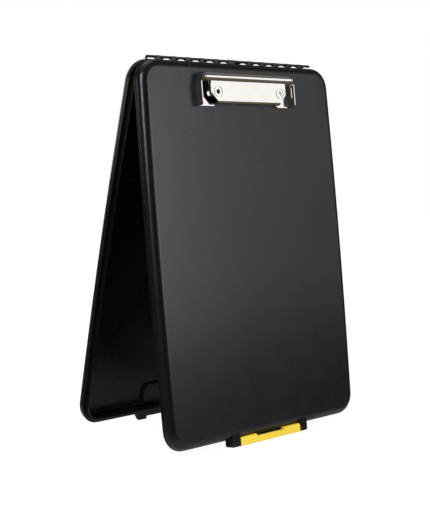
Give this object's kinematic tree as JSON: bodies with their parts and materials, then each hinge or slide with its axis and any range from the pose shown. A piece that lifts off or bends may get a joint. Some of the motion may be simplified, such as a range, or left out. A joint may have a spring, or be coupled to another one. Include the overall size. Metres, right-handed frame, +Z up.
{
  "type": "storage clipboard",
  "caption": "Hinged plastic storage clipboard standing open as an A-frame, with a chrome box clip at the hinge end and a snap latch bar at the other.",
  "frame": {"origin": "on the floor under the middle of the standing case's footprint", "axes": "+Z up, +X along the hinge to the viewer's right when facing the writing panel, -Y out of the writing panel's side"},
  "size_m": [0.2472, 0.1346, 0.341],
  "materials": {
    "black_plastic": "fine texture",
    "wire": "black oxide",
    "yellow_plastic": "smooth",
    "chrome": "bright plate",
    "spring_steel": "drawn"
  },
  "bodies": {
    "front_half": {"front_shell": "black_plastic", "hinge_wire": "wire", "clip_base": "chrome", "clip_rod": "chrome", "clip_springs": "spring_steel", "clip_rivets": "chrome", "rivet_washers": "chrome"},
    "back_half": {"back_shell": "black_plastic"},
    "clip_jaw": {"clip_jaw": "chrome"},
    "latch": {"latch_bar": "yellow_plastic"}
  },
  "joints": [
    {"name": "case_hinge", "type": "hinge", "parent": "front_half", "child": "back_half", "pos_m": [0, -0.00213, 0.3397], "axis": [1, 0, 0], "range_deg": [-19.35, 160.6]},
    {"name": "clip_jaw_hinge", "type": "hinge", "parent": "front_half", "child": "clip_jaw", "pos_m": [0, -0.02023, 0.3246], "axis": [-1, 0, 0], "range_deg": [0, 70], "stiffness_Nm_per_rad": 0.6, "springref_deg": -57.3},
    {"name": "latch_hinge", "type": "hinge", "parent": "front_half", "child": "latch", "pos_m": [0, -0.06401, 0.00646], "axis": [1, 0, 0], "range_deg": [-45, 9]}
  ]
}
